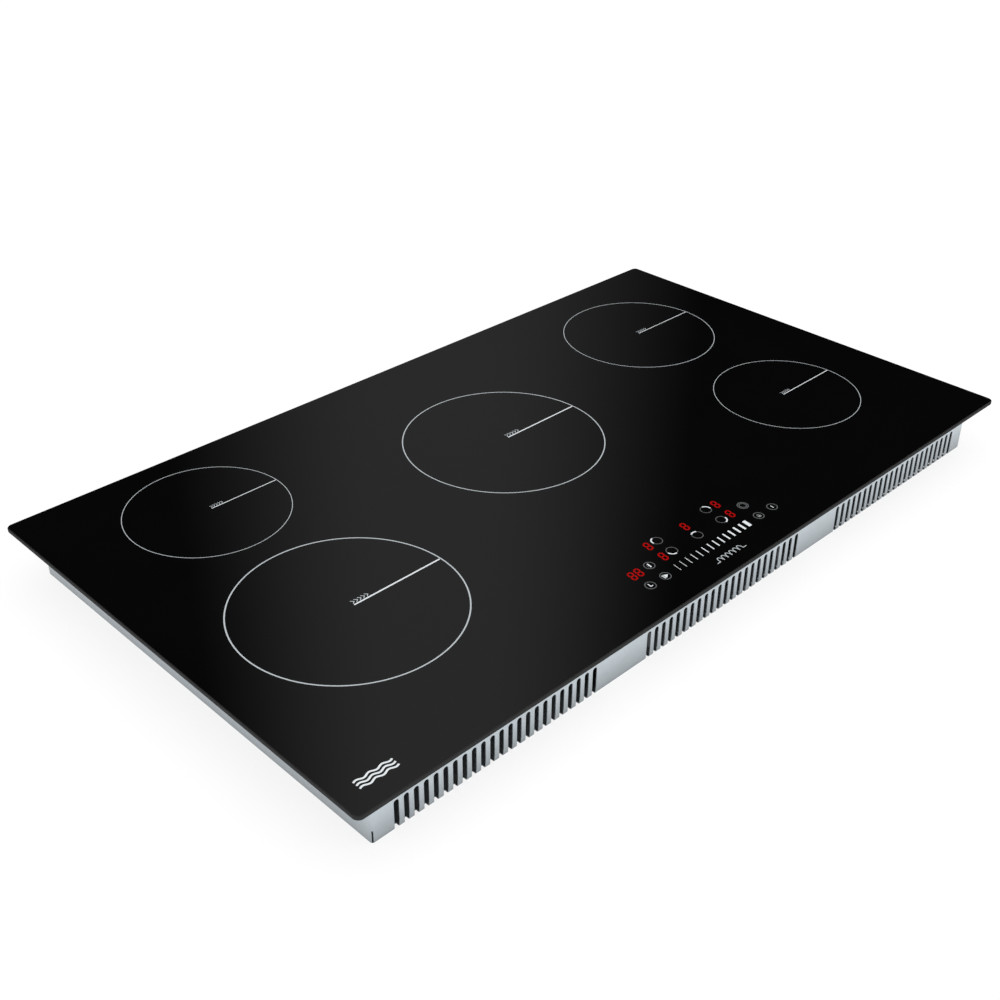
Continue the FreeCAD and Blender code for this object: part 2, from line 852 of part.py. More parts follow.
def bush_places():
    """Three bushes below each former, between its ferrite bars."""
    places = []
    for x, y, diameter in ZONES.values():
        coil_radius = diameter / 2 - d.winding_margin
        radius = coil_radius - d.bush_inset
        bars = bar_count(coil_radius)
        for i in range(BUSHES_PER_COIL):
            angle = math.radians(180 / bars + 360 * round(bars * i / BUSHES_PER_COIL) / bars)
            places.append((x + radius * math.cos(angle), y + radius * math.sin(angle)))
    return places


def make_bushes():
    """Silicone bushes that stand on the carrier plates and press the coils up to the glass."""
    height = former_bottom - carrier_top
    body = new_body("coil_bushes", z=carrier_top)
    discs(body, bush_places(), d.bush_radius, height)
    through_holes(body, bush_places(), d.bush_bore, height)


def make_carriers():
    """Aluminium plates below the coils, on posts from the floor of the tray."""
    for side, (x, y, width, depth, zones) in CARRIERS.items():
        body = new_body(f"carrier_plate_{side}", x, y, d.carrier_height)
        blocks(body, [(0, 0)], width, depth, d.carrier_thickness)
        windows = [(ZONES[zone][0] - x, ZONES[zone][1] - y) for zone in zones]
        through_holes(body, windows, d.carrier_window, d.carrier_thickness)
        corners = corners_of(0, 0, width - 2 * CARRIER_EDGE, depth - 2 * CARRIER_EDGE)
        through_holes(body, corners, d.screw_radius + d.hole_clearance, d.carrier_thickness)


def make_posts():
    """Threaded posts riveted into the floor."""
    body = new_body("carrier_posts")
    discs(body, post_places(), d.post_foot_radius, d.carrier_height)
    discs(body, post_places(), d.post_radius, d.carrier_height - d.sheet_steel, offset=d.sheet_steel)
    thread = d.screw_radius + d.thread_gap
    holes(body, post_places(), thread, d.carrier_height, d.screw_length)


def make_panel_screws():
    """The short screws of the carrier plates, head up, and of the terminal cover, head down."""
    body = new_body("panel_screws")
    discs(body, post_places(), d.screw_head_radius, d.screw_head_height, offset=carrier_top)
    shank_low = carrier_top - d.screw_length
    discs(body, post_places(), d.screw_radius, d.screw_length + d.screw_head_height, offset=shank_low)
    bosses = [(d.inlet_x + dx, d.cover_y) for dx in (-COVER_SCREW_X, COVER_SCREW_X)]
    discs(body, bosses, d.screw_head_radius, d.cover_thickness)
    discs(body, bosses, d.screw_radius, d.cover_thickness + d.screw_length)


# ------------------------------------------------------------------ circuit boards


def make_board(label, x, y, width, length):
    """A bare circuit board with its four spacer holes."""
    body = new_body(label, x, y, d.board_height)
    blocks(body, [(0, 0)], width, length, d.board_thickness)
    corners = corners_of(0, 0, width - 2 * SPACER_EDGE, length - 2 * SPACER_EDGE)
    through_holes(body, corners, d.spacer_pin_radius + d.hole_clearance, d.board_thickness)


def make_spacers():
    """Snap-in spacers: a pin through the floor, a column, and a pin through the board."""
    body = new_body("board_spacers")
    height = board_top + d.spacer_pin_height
    discs(body, spacer_places(), d.spacer_pin_radius, height)
    column = d.board_height - d.sheet_steel
    discs(body, spacer_places(), d.spacer_radius, column, offset=d.sheet_steel)


def make_heat_sink(side, x, y):
    """An extruded heat sink along Y that lies on the power devices."""
    body = new_body(f"heat_sink_{side}", x, y, board_top + d.device_height)
    blocks(body, [(0, 0)], d.sink_width, d.sink_length, d.sink_base)
    sketch = new_sketch(body, offset=d.sink_base)
    first_x = (d.fin_thickness - d.sink_width) / 2
    add_rectangle(sketch, first_x, 0, d.fin_thickness, d.sink_length)
    fin = pad(body, sketch, d.sink_height - d.sink_base)
    linear_pattern(body, fin, d.fin_count, (d.sink_width - d.fin_thickness) / (d.fin_count - 1))


def make_power_electronics():
    """Boards, heat sinks, and the parts soldered to the boards."""
    for side, (x, y, _) in POWER_BOARDS.items():
        make_board(f"power_board_{side}", x, y, d.board_width, d.board_length)
        make_heat_sink(side, x + SINK_X, y)

    devices = new_body("power_semiconductors", z=board_top)
    switches = on_boards(SWITCHES, per_coil=True)
    blocks(devices, switches, d.switch_width, d.device_length, d.device_height)
    blocks(devices, on_boards([BRIDGE]), d.bridge_width, d.device_length, d.device_height)

    tanks = new_body("resonant_capacitors", z=board_top)
    places = on_boards(RESONANT_CAPACITORS, per_coil=True)
    blocks(tanks, places, d.film_capacitor_width, d.film_capacitor_length, d.film_capacitor_height)

    links = new_body("link_capacitors", z=board_top)
    places = on_boards([LINK_CAPACITOR])
    blocks(links, places, d.link_capacitor_width, d.link_capacitor_length, d.link_capacitor_height)

    terminals = new_body("coil_terminals", z=board_top)
    places = on_boards(COIL_TERMINALS, per_coil=True)
    blocks(terminals, places, d.terminal_size, d.terminal_size, d.terminal_height)
    holes(terminals, places, d.terminal_well_radius, d.terminal_height, d.terminal_well_depth)


def make_chokes(label, places, ring_radius, section_radius):
    """Flat-lying toroidal chokes."""
    rings = []
    for x, y in places:
        ring = doc.addObject("Part::Torus", "Ring")
        ring.Radius1 = float(ring_radius)
        ring.Radius2 = float(section_radius)
        bind(ring, "Radius1", ring_radius)
        bind(ring, "Radius2", section_radius)
        centre = Vector(float(x), float(y), float(board_top + section_radius))
        ring.Placement = Placement(centre, Rotation())
        rings.append(ring)
    choke = doc.addObject("Part::Compound", label)
    choke.Label = label
    choke.Links = rings
    SUB_PARTS.append(choke)


def make_filter_board():
    """The mains filter between the terminal block and the power boards."""
    x, y = FILTER_BOARD
    make_board("filter_board", x, y, d.filter_width, d.filter_length)
    choke = [(x, y + FILTER_CHOKE_Y)]
    make_chokes("filter_choke", choke, d.filter_choke_radius, d.filter_choke_thickness)
    body = new_body("mains_capacitors", z=board_top)
    places = [(x, y + offset) for offset in MAINS_CAPACITORS_Y]
    blocks(body, places, d.mains_capacitor_width, d.mains_capacitor_length, d.link_capacitor_height)


# ------------------------------------------------------------------ mains inlet


def make_inlet():
    """Terminal block with its flush cover in the floor, and the cable bushing in the back wall."""
    make_terminal_block()
    bosses = [(-COVER_SCREW_X, 0), (COVER_SCREW_X, 0)]
    cover = new_body("terminal_cover", d.inlet_x, d.cover_y)
    width = d.cover_width - 2 * d.cover_gap
    blocks(cover, [(0, 0)], width, d.cover_depth - 2 * d.cover_gap, d.cover_thickness)
    through_holes(cover, bosses, d.screw_head_radius + d.hole_clearance, d.cover_thickness)

    bushing = new_body("cable_bushing")
    outside = d.tray_depth / 2 + d.inlet_collar_thickness
    centre = [(d.inlet_x, d.inlet_z)]
    neck = new_sketch(bushing, "XZ_Plane", d.inlet_length - outside)
    add_circles(neck, centre, d.inlet_neck_radius)
    reverse_pad(bushing, neck, d.inlet_length)
    collar = new_sketch(bushing, "XZ_Plane", -d.tray_depth / 2)
    add_circles(collar, centre, d.inlet_collar_radius)
    reverse_pad(bushing, collar, d.inlet_collar_thickness)
    bore = new_sketch(bushing, "XZ_Plane", -outside - OVERCUT)
    add_circles(bore, centre, d.inlet_bore)
    pocket(bushing, bore, d.inlet_length + 2 * OVERCUT, reverse=True)


def make_terminal_block():
    """A bridge over the terminal cover: two feet, a body with wire wells, and two screw bosses."""
    block = new_body("terminal_block", d.inlet_x, d.cover_y, d.sheet_steel)
    foot_x = (d.cover_width + d.foot_size) / 2 + d.hole_clearance
    blocks(block, [(-foot_x, 0), (foot_x, 0)], d.foot_size, d.block_depth, d.foot_size)
    span = 2 * foot_x + d.foot_size
    blocks(block, [(0, 0)], span, d.block_depth, d.block_height, offset=d.foot_size)
    bosses = [(-COVER_SCREW_X, 0), (COVER_SCREW_X, 0)]
    low = d.cover_thickness - d.sheet_steel
    discs(block, bosses, d.boss_radius, d.foot_size - low, offset=low)
    depth = d.screw_length + OVERCUT
    holes(block, bosses, d.screw_radius + d.thread_gap, depth, depth)
    wells = [(d.wire_pitch * i, 0) for i in range(-2, 3)]
    holes(block, wells, d.wire_well_radius, d.foot_size + d.block_height, d.wire_well_depth)


def reverse_pad(body, sketch, length):
    """Raise a sketch against its normal."""
    feature = pad(body, sketch, length)
    feature.Reversed = True
    doc.recompute()


# ------------------------------------------------------------------ cooling fans


def make_fan(side, x, y):
    """An axial fan flat on the floor: square housing with a fixed stator, and a turning rotor."""
    housing = new_body(f"fan_housing_{side}", x, y, d.sheet_steel)
    frame = new_sketch(housing)
    add_rectangle(frame, 0, 0, d.fan_size, d.fan_size)
    add_circles(frame, [(0, 0)], d.fan_bore)
    pad(housing, frame, d.fan_height)
    corners = corners_of(0, 0, d.fan_hole_pitch, d.fan_hole_pitch)
    through_holes(housing, corners, d.screw_radius + d.hole_clearance, d.fan_height)
    spoke_length = 2 * d.fan_bore + OVERCUT
    blocks(housing, [(0, 0)], spoke_length, d.spoke_width, d.spoke_height)
    blocks(housing, [(0, 0)], d.spoke_width, spoke_length, d.spoke_height)
    discs(housing, [(0, 0)], d.fan_hub_radius, d.stator_plate_height)
    discs(housing, [(0, 0)], d.stator_radius, d.stator_height, offset=d.spoke_height)
    discs(housing, [(0, 0)], d.spindle_radius, d.spindle_height, offset=d.spoke_height)
    bearing = d.shaft_radius + d.shaft_clearance
    holes(housing, [(0, 0)], bearing, d.spoke_height + d.spindle_height, d.bearing_depth)

    rotor = new_body(f"fan_rotor_{side}", x, y, d.sheet_steel)
    discs(rotor, [(0, 0)], d.fan_hub_radius, d.cup_top - d.cup_bottom, offset=d.cup_bottom)
    inside = new_sketch(rotor, offset=d.cup_top - d.fan_wall)
    add_circles(inside, [(0, 0)], d.fan_hub_radius - d.fan_wall)
    pocket(rotor, inside, d.cup_top - d.cup_bottom)
    discs(rotor, [(0, 0)], d.shaft_radius, d.shaft_length, offset=d.shaft_bottom)
    add_blades(rotor)


def add_blades(rotor):
    """Pitched blades round the hub."""
    low = float(d.blade_bottom)
    high = float(d.blade_top)
    half_chord = float(d.blade_chord) / 2
    thickness = float(d.blade_thickness)
    sketch = new_sketch(rotor, "XZ_Plane", -d.blade_root)
    corners = [
        Vector(-half_chord, low, 0),
        Vector(thickness - half_chord, low, 0),
        Vector(half_chord, high, 0),
        Vector(half_chord - thickness, high, 0),
    ]
    for i in range(4):
        sketch.addGeometry(Part.LineSegment(corners[i], corners[(i + 1) % 4]))
    for i in range(4):
        sketch.addConstraint(Sketcher.Constraint("Coincident", i, 2, (i + 1) % 4, 1))
        sketch.addConstraint(Sketcher.Constraint("Block", i))
    blade = rotor.newObject("PartDesign::Pad", "Blade")
    blade.Profile = sketch
    blade.Length = float(d.blade_tip - d.blade_root)
    bind(blade, "Length", d.blade_tip - d.blade_root)
    blade.Reversed = True
    rotor.Tip = blade
    doc.recompute()
    pattern = rotor.newObject("PartDesign::PolarPattern", "PolarPattern")
    axis = [item for item in rotor.Origin.OriginFeatures if item.Role == "Z_Axis"][0]
    pattern.Originals = [blade]
    pattern.Axis = (axis, [""])
    pattern.Angle = 360
    pattern.Occurrences = int(float(d.blade_count))
    bind(pattern, "Occurrences", d.blade_count)
    rotor.Tip = pattern
    doc.recompute()


def make_fan_screws():
    """Long screws down through the corners of both fans into the floor."""
    top = d.sheet_steel + d.fan_height
    body = new_body("fan_screws")
    discs(body, fan_screw_places(), d.screw_radius, top + d.screw_head_height)
    discs(body, fan_screw_places(), d.screw_head_radius, d.screw_head_height, offset=top)


# ------------------------------------------------------------------ touch controls


def make_controls():
    """The control board in its holder, with displays and touch contacts up against the glass."""
    holder = new_body("control_holder", d.panel_x, d.panel_y)
    rim_top = d.panel_board + d.board_thickness
    blocks(holder, [(0, 0)], d.panel_width, d.panel_depth, d.panel_wall, offset=d.panel_floor)
    rim = new_sketch(holder, offset=d.panel_floor)
    add_rectangle(rim, 0, 0, d.panel_width, d.panel_depth)
    add_rectangle(rim, 0, 0, d.panel_width - 2 * d.panel_wall, d.panel_depth - 2 * d.panel_wall)
    pad(holder, rim, rim_top - d.panel_floor)
    inset = 2 * d.panel_leg_inset
    legs = corners_of(0, 0, d.panel_width - inset, d.panel_depth - inset)
    discs(holder, legs, d.post_radius, d.panel_board - d.sheet_steel, offset=d.sheet_steel)

    board = new_body("control_board", d.panel_x, d.panel_y, d.panel_board)
    gap = 2 * (d.panel_wall + d.panel_board_gap)
    blocks(board, [(0, 0)], d.panel_width - gap, d.panel_depth - gap, d.board_thickness)

    displays = new_body("digit_displays", z=rim_top)
    height = glass_underside - rim_top - d.display_gap
    sketch = new_sketch(displays)
    for x, y in DIGITS:
        add_rectangle(sketch, x, y, d.display_width, d.display_depth)
    add_rectangle(sketch, *DOUBLE_DIGIT, DOUBLE_DIGIT_WIDTH, d.display_depth)
    pad(displays, sketch, height)

    contacts = new_body("touch_contacts", z=rim_top)
    discs(contacts, ZONE_KEYS + OTHER_KEYS + SLIDER_KEYS, d.touch_radius, glass_underside - rim_top)

    buzzer = new_body("buzzer", d.buzzer_x, d.buzzer_y, rim_top)
    discs(buzzer, [(0, 0)], d.buzzer_radius, d.buzzer_height)
    holes(buzzer, [(0, 0)], d.buzzer_port_radius, d.buzzer_height, d.buzzer_port_depth)

    make_ribbon(rim_top)


def make_ribbon(rim_top):
    """A flat cable from the control board over its holder's rim to the middle power board."""
    thickness = float(d.ribbon_thickness)
    start = float(d.ribbon_start_y)
    drop = float(d.ribbon_drop_y)
    end = float(d.ribbon_end_y)
    top = float(rim_top)
    low = float(board_top)
    ribbon = new_body("control_ribbon")
    sketch = new_sketch(ribbon, "YZ_Plane", -d.ribbon_width / 2)
    outline = [
        Vector(start, top, 0),
        Vector(drop, top, 0),
        Vector(drop, low, 0),
        Vector(end, low, 0),
        Vector(end, low + thickness, 0),
        Vector(drop + thickness, low + thickness, 0),
        Vector(drop + thickness, top + thickness, 0),
        Vector(start, top + thickness, 0),
    ]
    count = len(outline)
    for i in range(count):
        sketch.addGeometry(Part.LineSegment(outline[i], outline[(i + 1) % count]))
    for i in range(count):
        sketch.addConstraint(Sketcher.Constraint("Coincident", i, 2, (i + 1) % count, 1))
        sketch.addConstraint(Sketcher.Constraint("Block", i))
    pad(ribbon, sketch, d.ribbon_width)


# ------------------------------------------------------------------ build, test and write

make_glass()
make_seals()
make_tray()
for zone_name, (zone_x, zone_y, zone_size) in ZONES.items():
    make_coil(zone_name, zone_x, zone_y, zone_size)
make_sensors()
make_bushes()
make_carriers()
make_posts()
make_panel_screws()
make_power_electronics()
make_chokes("board_chokes", on_boards([BOARD_CHOKE]), d.choke_radius, d.choke_thickness)
make_filter_board()
make_spacers()
make_inlet()
for fan_side, (fan_x, fan_y) in FANS.items():
    make_fan(fan_side, fan_x, fan_y)
make_fan_screws()
make_controls()
doc.recompute()

for item in doc.Objects:
    if "Invalid" in item.State or "Error" in item.State:
        raise RuntimeError(f"{item.Label} is in state {item.State}")

os.makedirs("parts", exist_ok=True)
for sub_part in SUB_PARTS:
    if sub_part.Shape.isNull() or not sub_part.Shape.isValid():
        raise RuntimeError(f"{sub_part.Label} has no valid shape")
    sub_part.Shape.exportStep(f"parts/{sub_part.Label}.step")
print(f"{len(SUB_PARTS)} sub-parts written")
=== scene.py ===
"""Looks of the built-in induction cooktop: materials, printed decor, light and camera.

Lengths are metres unless a name ends in _MM. Angles that have a name are degrees.
"""

import json
import math

import bmesh
import bpy
from mathutils import Euler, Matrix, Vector


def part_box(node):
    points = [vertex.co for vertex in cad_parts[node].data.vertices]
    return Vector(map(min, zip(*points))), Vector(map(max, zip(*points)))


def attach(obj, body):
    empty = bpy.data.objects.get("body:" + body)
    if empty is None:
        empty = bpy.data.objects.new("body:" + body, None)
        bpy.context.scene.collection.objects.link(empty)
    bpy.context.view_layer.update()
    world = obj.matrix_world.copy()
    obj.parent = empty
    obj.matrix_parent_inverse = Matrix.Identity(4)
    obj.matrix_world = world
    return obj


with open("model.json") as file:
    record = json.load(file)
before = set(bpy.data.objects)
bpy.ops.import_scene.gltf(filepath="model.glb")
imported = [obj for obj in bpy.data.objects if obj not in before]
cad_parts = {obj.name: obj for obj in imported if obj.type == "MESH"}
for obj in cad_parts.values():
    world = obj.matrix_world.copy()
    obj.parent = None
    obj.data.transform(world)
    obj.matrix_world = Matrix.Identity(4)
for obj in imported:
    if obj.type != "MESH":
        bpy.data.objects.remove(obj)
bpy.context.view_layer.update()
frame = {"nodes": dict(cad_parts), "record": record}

MM = 0.001

# ------------------------------------------------------------------ material building blocks


class Surface:
    """A Principled material; its colour, gloss and relief come from procedural nodes in object space."""

    def __init__(self, name, roughness=0.5, metallic=0.0, **constants):
        self.material = bpy.data.materials.new(name)
        self.material.use_nodes = True
        self.tree = self.material.node_tree
        self.shader = self.tree.nodes["Principled BSDF"]
        self.shader.inputs["Roughness"].default_value = roughness
        self.shader.inputs["Metallic"].default_value = metallic
        for socket, value in constants.items():
            self.shader.inputs[socket.replace("_", " ")].default_value = value
        self.coordinates = self.node("ShaderNodeTexCoord").outputs["Object"]

    def node(self, kind, **properties):
        made = self.tree.nodes.new(kind)
        for name, value in properties.items():
            setattr(made, name, value)
        return made

    def link(self, source, target):
        self.tree.links.new(source, target)

    def stretched(self, x=1.0, y=1.0, z=1.0, turn=(0.0, 0.0, 0.0)):
        """Object coordinates scaled along each axis, for grain that runs one way."""
        mapping = self.node("ShaderNodeMapping")
        mapping.inputs["Scale"].default_value = (x, y, z)
        mapping.inputs["Rotation"].default_value = turn
        self.link(self.coordinates, mapping.inputs["Vector"])
        return mapping.outputs["Vector"]

    def noise(self, per_metre, detail=3.0, roughness=0.55, space=None):
        """Soft random variation, this many patches to a metre."""
        made = self.node("ShaderNodeTexNoise")
        made.inputs["Scale"].default_value = per_metre
        made.inputs["Detail"].default_value = detail
        made.inputs["Roughness"].default_value = roughness
        self.link(space or self.coordinates, made.inputs["Vector"])
        return made.outputs["Fac"]

    def cells(self, per_metre):
        """Crystal-like patches."""
        made = self.node("ShaderNodeTexVoronoi")
        made.inputs["Scale"].default_value = per_metre
        self.link(self.coordinates, made.inputs["Vector"])
        return made.outputs["Color"]

    def ramp(self, factor, *stops):
        """A colour ramp through (position, colour) stops."""
        made = self.node("ShaderNodeValToRGB")
        elements = made.color_ramp.elements
        while len(elements) < len(stops):
            elements.new(0.5)
        for element, (position, colour) in zip(elements, stops):
            element.position = position
            element.color = (*colour, 1.0)
        self.link(factor, made.inputs["Fac"])
        return made.outputs["Color"]

    def mix(self, factor, low, high, blend="MIX"):
        """A blend of two colours, each a socket or a triple."""
        made = self.node("ShaderNodeMix", data_type="RGBA", blend_type=blend)
        self.feed(factor, made.inputs["Factor"])
        self.feed(low, made.inputs["A"])
        self.feed(high, made.inputs["B"])
        return made.outputs["Result"]

    def between(self, factor, low, high):
        """A number from low to high as the factor goes from 0 to 1."""
        made = self.node("ShaderNodeMapRange")
        made.inputs["To Min"].default_value = low
        made.inputs["To Max"].default_value = high
        self.link(factor, made.inputs["Value"])
        return made.outputs["Result"]

    def math(self, operation, first, second=0.0):
        made = self.node("ShaderNodeMath", operation=operation)
        self.feed(first, made.inputs[0])
        self.feed(second, made.inputs[1])
        return made.outputs["Value"]

    def facing(self):
        """1 on faces that point straight up, 0 on upright ones, -1 on those that point down."""
        split = self.node("ShaderNodeSeparateXYZ")
        self.link(self.node("ShaderNodeNewGeometry").outputs["Normal"], split.inputs["Vector"])
        return split.outputs["Z"]

    def feed(self, value, socket):
        if isinstance(value, bpy.types.NodeSocket):
            self.link(value, socket)
        elif isinstance(value, tuple):
            socket.default_value = (*value, 1.0)
        else:
            socket.default_value = value

    def colour(self, source):
        self.link(source, self.shader.inputs["Base Color"])

    def gloss(self, source):
        self.link(source, self.shader.inputs["Roughness"])

    def relief(self, height, depth, strength=1.0):
        """Bump of this depth in metres."""
        made = self.node("ShaderNodeBump")
        made.inputs["Strength"].default_value = strength
        made.inputs["Distance"].default_value = depth
        self.link(height, made.inputs["Height"])
        self.link(made.outputs["Normal"], self.shader.inputs["Normal"])


def scaled(colour, factor):
    """A colour made lighter or darker."""
    return tuple(min(1.0, part * factor) for part in colour)


# ------------------------------------------------------------------ materials by slot


# a face steeper than this counts as the ground edge; 1 is level
LEVEL_GLASS = 0.97


def black_glass():
    """Polished glass-ceramic with a ground edge and faint wipe marks."""
    made = Surface("black_glass", IOR=1.5, Specular_IOR_Level=0.5)
    edge = made.math("LESS_THAN", made.math("ABSOLUTE", made.facing()), LEVEL_GLASS)
    cloud = made.noise(9.0, 2.0)
    depth = made.ramp(cloud, (0.3, (0.0006, 0.0006, 0.0007)), (0.7, (0.0010, 0.0010, 0.0011)))
    grain = made.noise(900.0, 2.0)
    ground = made.ramp(grain, (0.3, (0.0105, 0.0107, 0.011)), (0.7, (0.0165, 0.0168, 0.0175)))
    made.colour(made.mix(edge, depth, ground))
    wiped = made.noise(14.0, 4.0, 0.6, made.stretched(1.0, 3.0, 1.0, (0.0, 0.0, 0.5)))
    polish = made.between(wiped, 0.04, 0.075)
    made.gloss(made.math("MAXIMUM", polish, made.math("MULTIPLY", edge, 0.85)))
    grit = made.math("MULTIPLY", made.noise(2500.0, 2.0), edge)
    made.relief(grit, 0.00004, 0.5)
    return made.material


# from the tray's floor to the glass
TRAY_DEPTH = 0.053
# faces that point up or down by more than this are the tray's lip and floor, not its walls
LEVEL_STEEL = 0.5


def galvanised_steel():
    """Zinc-coated sheet: pale blue-grey with faint spangle and grain; painted shade darkens the walls
    towards the floor and darkens the faces that point up.
    """
    made = Surface("galvanised_steel", metallic=0.5, Specular_IOR_Level=0.5)
    spangle = made.cells(230.0)
    patch = made.noise(12.0, 3.0)
    shade = made.math("ADD", made.math("MULTIPLY", patch, 0.75), made.math("MULTIPLY", spangle, 0.25))
    tone = made.ramp(shade, (0.25, (0.550, 0.612, 0.648)), (0.75, (0.622, 0.692, 0.733)))
    height = made.node("ShaderNodeSeparateXYZ")
    made.link(made.coordinates, height.inputs["Vector"])
    rise = made.math("DIVIDE", height.outputs["Z"], TRAY_DEPTH)
    # painted shade: the walls' colour grows darker towards the tray's floor and is brightest at the glass
    film_and_painted_shade = made.ramp(
        rise,
        (0.0, (0.355, 0.355, 0.36)),
        (0.1, (0.52, 0.52, 0.525)),
        (0.25, (0.635, 0.635, 0.64)),
        (0.4, (0.75, 0.75, 0.755)),
        (0.6, (0.895, 0.895, 0.895)),
        (0.85, (0.93, 0.93, 0.93)),
        (1.0, (1.0, 1.0, 1.0)),
    )
    facing = made.facing()
    # painted shade: faces that point up, such as the tray's floor seen through the slots, are painted dark
    # as if unlit; faces that point down keep a flat 0.8 tone
    painted_shade = made.mix(made.math("GREATER_THAN", facing, LEVEL_STEEL), film_and_painted_shade, (0.25, 0.25, 0.25))
    painted_shade = made.mix(made.math("LESS_THAN", facing, -LEVEL_STEEL), painted_shade, (0.8, 0.8, 0.8))
    made.colour(made.mix(1.0, tone, painted_shade, "MULTIPLY"))
    rolled = made.noise(60.0, 5.0, 0.65, made.stretched(1.0, 1.0, 14.0))
    made.gloss(made.between(rolled, 0.27, 0.40))
    fine = made.noise(1600.0, 3.0)
    made.relief(made.math("ADD", fine, rolled), 0.00003, 0.35)
    return made.material


def plain_metal(name, colour, low, high, per_metre=400.0, stretch=(1.0, 1.0, 1.0)):
    """Bare metal with drawn or rolled grain."""
    made = Surface(name, metallic=1.0)
    grain = made.noise(per_metre, 4.0, 0.6, made.stretched(*stretch))
    made.colour(made.ramp(grain, (0.25, scaled(colour, 0.86)), (0.75, scaled(colour, 1.08))))
    made.gloss(made.between(grain, low, high))
    made.relief(grain, 0.00004, 0.3)
    return made.material


def moulded(name, colour, low, high, per_metre=1200.0, depth=0.00008):
    """Moulded plastic, rubber or ceramic with fine texture and slight mottling."""
    made = Surface(name)
    broad = made.noise(45.0, 3.0)
    fine = made.noise(per_metre, 3.0)
    made.colour(made.ramp(broad, (0.3, scaled(colour, 0.82)), (0.7, scaled(colour, 1.15))))
    made.gloss(made.between(fine, low, high))
    made.relief(fine, depth, 0.5)
    return made.material


def litz_winding():
    """Rings of twisted enamelled strand."""
    made = Surface("litz_copper", metallic=0.7)
    strand = made.noise(1500.0, 2.0, 0.5)
    made.colour(made.ramp(strand, (0.3, (0.36, 0.13, 0.05)), (0.7, (0.72, 0.36, 0.17))))
    made.gloss(made.between(strand, 0.28, 0.5))
    made.relief(strand, 0.0004, 0.7)
    return made.material


def circuit_board():
    """Green solder mask with tracks that show through it."""
    made = Surface("circuit_board")
    tracks = made.node("ShaderNodeTexBrick")
    tracks.offset = 0.35
    tracks.inputs["Scale"].default_value = 110.0
    tracks.inputs["Mortar Size"].default_value = 0.05
    tracks.inputs["Color1"].default_value = (0.012, 0.095, 0.035, 1.0)
    tracks.inputs["Color2"].default_value = (0.020, 0.130, 0.050, 1.0)
    tracks.inputs["Mortar"].default_value = (0.030, 0.200, 0.080, 1.0)
    made.link(made.coordinates, tracks.inputs["Vector"])
    made.colour(tracks.outputs["Color"])
    made.gloss(made.between(made.noise(60.0), 0.28, 0.42))
    made.relief(tracks.outputs["Fac"], 0.00005, 0.6)
    return made.material


def lit_digits():
    """Red light behind a diffusing face."""
    made = Surface("red_digits", roughness=0.45, Emission_Strength=1.0, Specular_IOR_Level=0.15)
    made.colour(made.ramp(made.noise(300.0), (0.3, (0.09, 0.0, 0.0)), (0.7, (0.12, 0.0, 0.0))))
    glow = made.ramp(made.noise(500.0, 2.0), (0.2, (0.29, 0.0, 0.0)), (0.8, (0.38, 0.0, 0.0)))
    made.link(glow, made.shader.inputs["Emission Color"])
    return made.material


def enamel(name, colour):
    """Screen-printed ceramic ink with a slightly uneven film."""
    made = Surface(name)
    film_and_painted_shade = made.noise(2200.0, 3.0)
    broad = made.noise(70.0, 2.0)
    speckle = made.ramp(film_and_painted_shade, (0.2, scaled(colour, 0.88)), (0.8, colour))
    drift = made.ramp(broad, (0.3, scaled(colour, 0.9)), (0.7, colour))
    made.colour(made.mix(0.3, speckle, drift))
    made.gloss(made.between(film_and_painted_shade, 0.35, 0.5))
    made.relief(film_and_painted_shade, 0.00002, 0.4)
    return made.material


ACROSS_SHEET = (1.0, 12.0, 1.0)
ALONG_FINS = (6.0, 0.4, 6.0)
ROUND_WIRE = (1.0, 1.0, 0.2)

